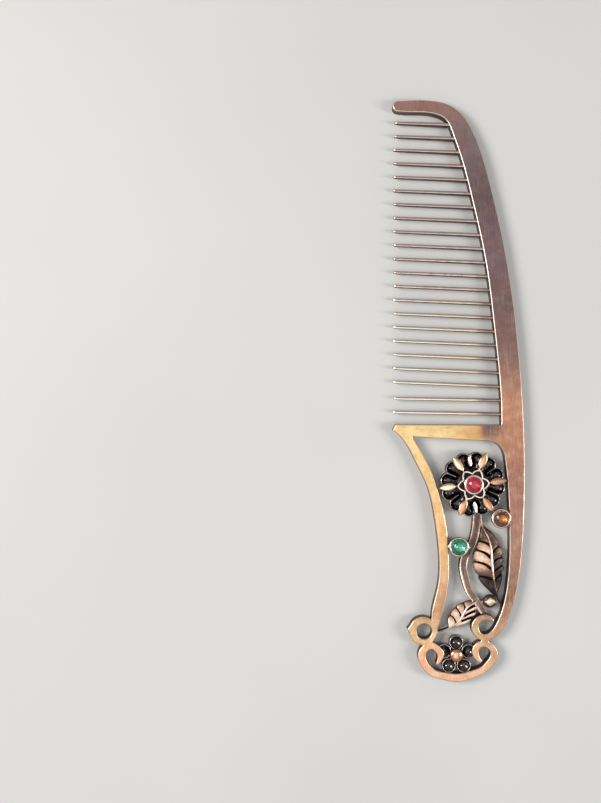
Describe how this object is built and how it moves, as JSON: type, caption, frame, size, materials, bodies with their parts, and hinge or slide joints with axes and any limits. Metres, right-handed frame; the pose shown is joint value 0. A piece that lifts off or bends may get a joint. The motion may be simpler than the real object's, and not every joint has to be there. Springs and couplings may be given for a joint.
{
  "type": "decorative hair comb",
  "caption": "Openwork metal hair comb: curved spine with long tapered teeth, and a pierced handle with scrolls, leaves, flowers and set stones.",
  "frame": {"origin": "centre of the comb's footprint, on the plane of its flat back", "axes": "+Z towards the decorated front, +Y along the comb towards the guard end, tooth tips on the -X side"},
  "size_m": [0.0408, 0.1796, 0.0069],
  "materials": {
    "frame_copper": "antique copper plating on a cast frame, brushed along its length, edges rubbed bright",
    "tooth_copper": "antique copper plating, darkened, crests rubbed bright",
    "aged_copper": "darkened antique copper, edges rubbed bright",
    "leaf_copper": "antique copper, raised panels polished, grooves blackened",
    "dark_copper": "blackened copper with a gloss lacquer, rims rubbed bright",
    "polished_copper": "antique copper with polished tops",
    "bezel_copper": "antique copper cups with bright burnished rims",
    "stone_cement": "clear amber jeweller's cement",
    "red_stone": "faceted red crystal with a foiled back",
    "green_stone": "faceted green crystal with a foiled back",
    "amber_stone": "faceted smoky amber crystal with a foiled back"
  },
  "bodies": {
    "root": {"comb_frame": "frame_copper", "tooth_01": "tooth_copper", "tooth_02": "tooth_copper", "tooth_03": "tooth_copper", "tooth_04": "tooth_copper", "tooth_05": "tooth_copper", "tooth_06": "tooth_copper", "tooth_07": "tooth_copper", "tooth_08": "tooth_copper", "tooth_09": "tooth_copper", "tooth_10": "tooth_copper", "tooth_11": "tooth_copper", "tooth_12": "tooth_copper", "tooth_13": "tooth_copper", "tooth_14": "tooth_copper", "tooth_15": "tooth_copper", "tooth_16": "tooth_copper", "tooth_17": "tooth_copper", "tooth_18": "tooth_copper", "tooth_19": "tooth_copper", "tooth_20": "tooth_copper", "tooth_21": "tooth_copper", "tooth_22": "tooth_copper", "stem": "aged_copper", "large_leaf": "leaf_copper", "small_leaf": "leaf_copper", "bud": "leaf_copper", "rosette_base": "dark_copper", "rosette_star": "polished_copper", "rosette_cup": "bezel_copper", "rosette_glue_bed": "stone_cement", "rosette_stone": "red_stone", "rosette_rivet": "polished_copper", "green_cup": "bezel_copper", "green_glue_bed": "stone_cement", "green_stone": "green_stone", "amber_cup": "bezel_copper", "amber_glue_bed": "stone_cement", "amber_stone": "amber_stone", "tail_flower": "dark_copper", "tail_knob": "polished_copper"}
  },
  "joints": []
}
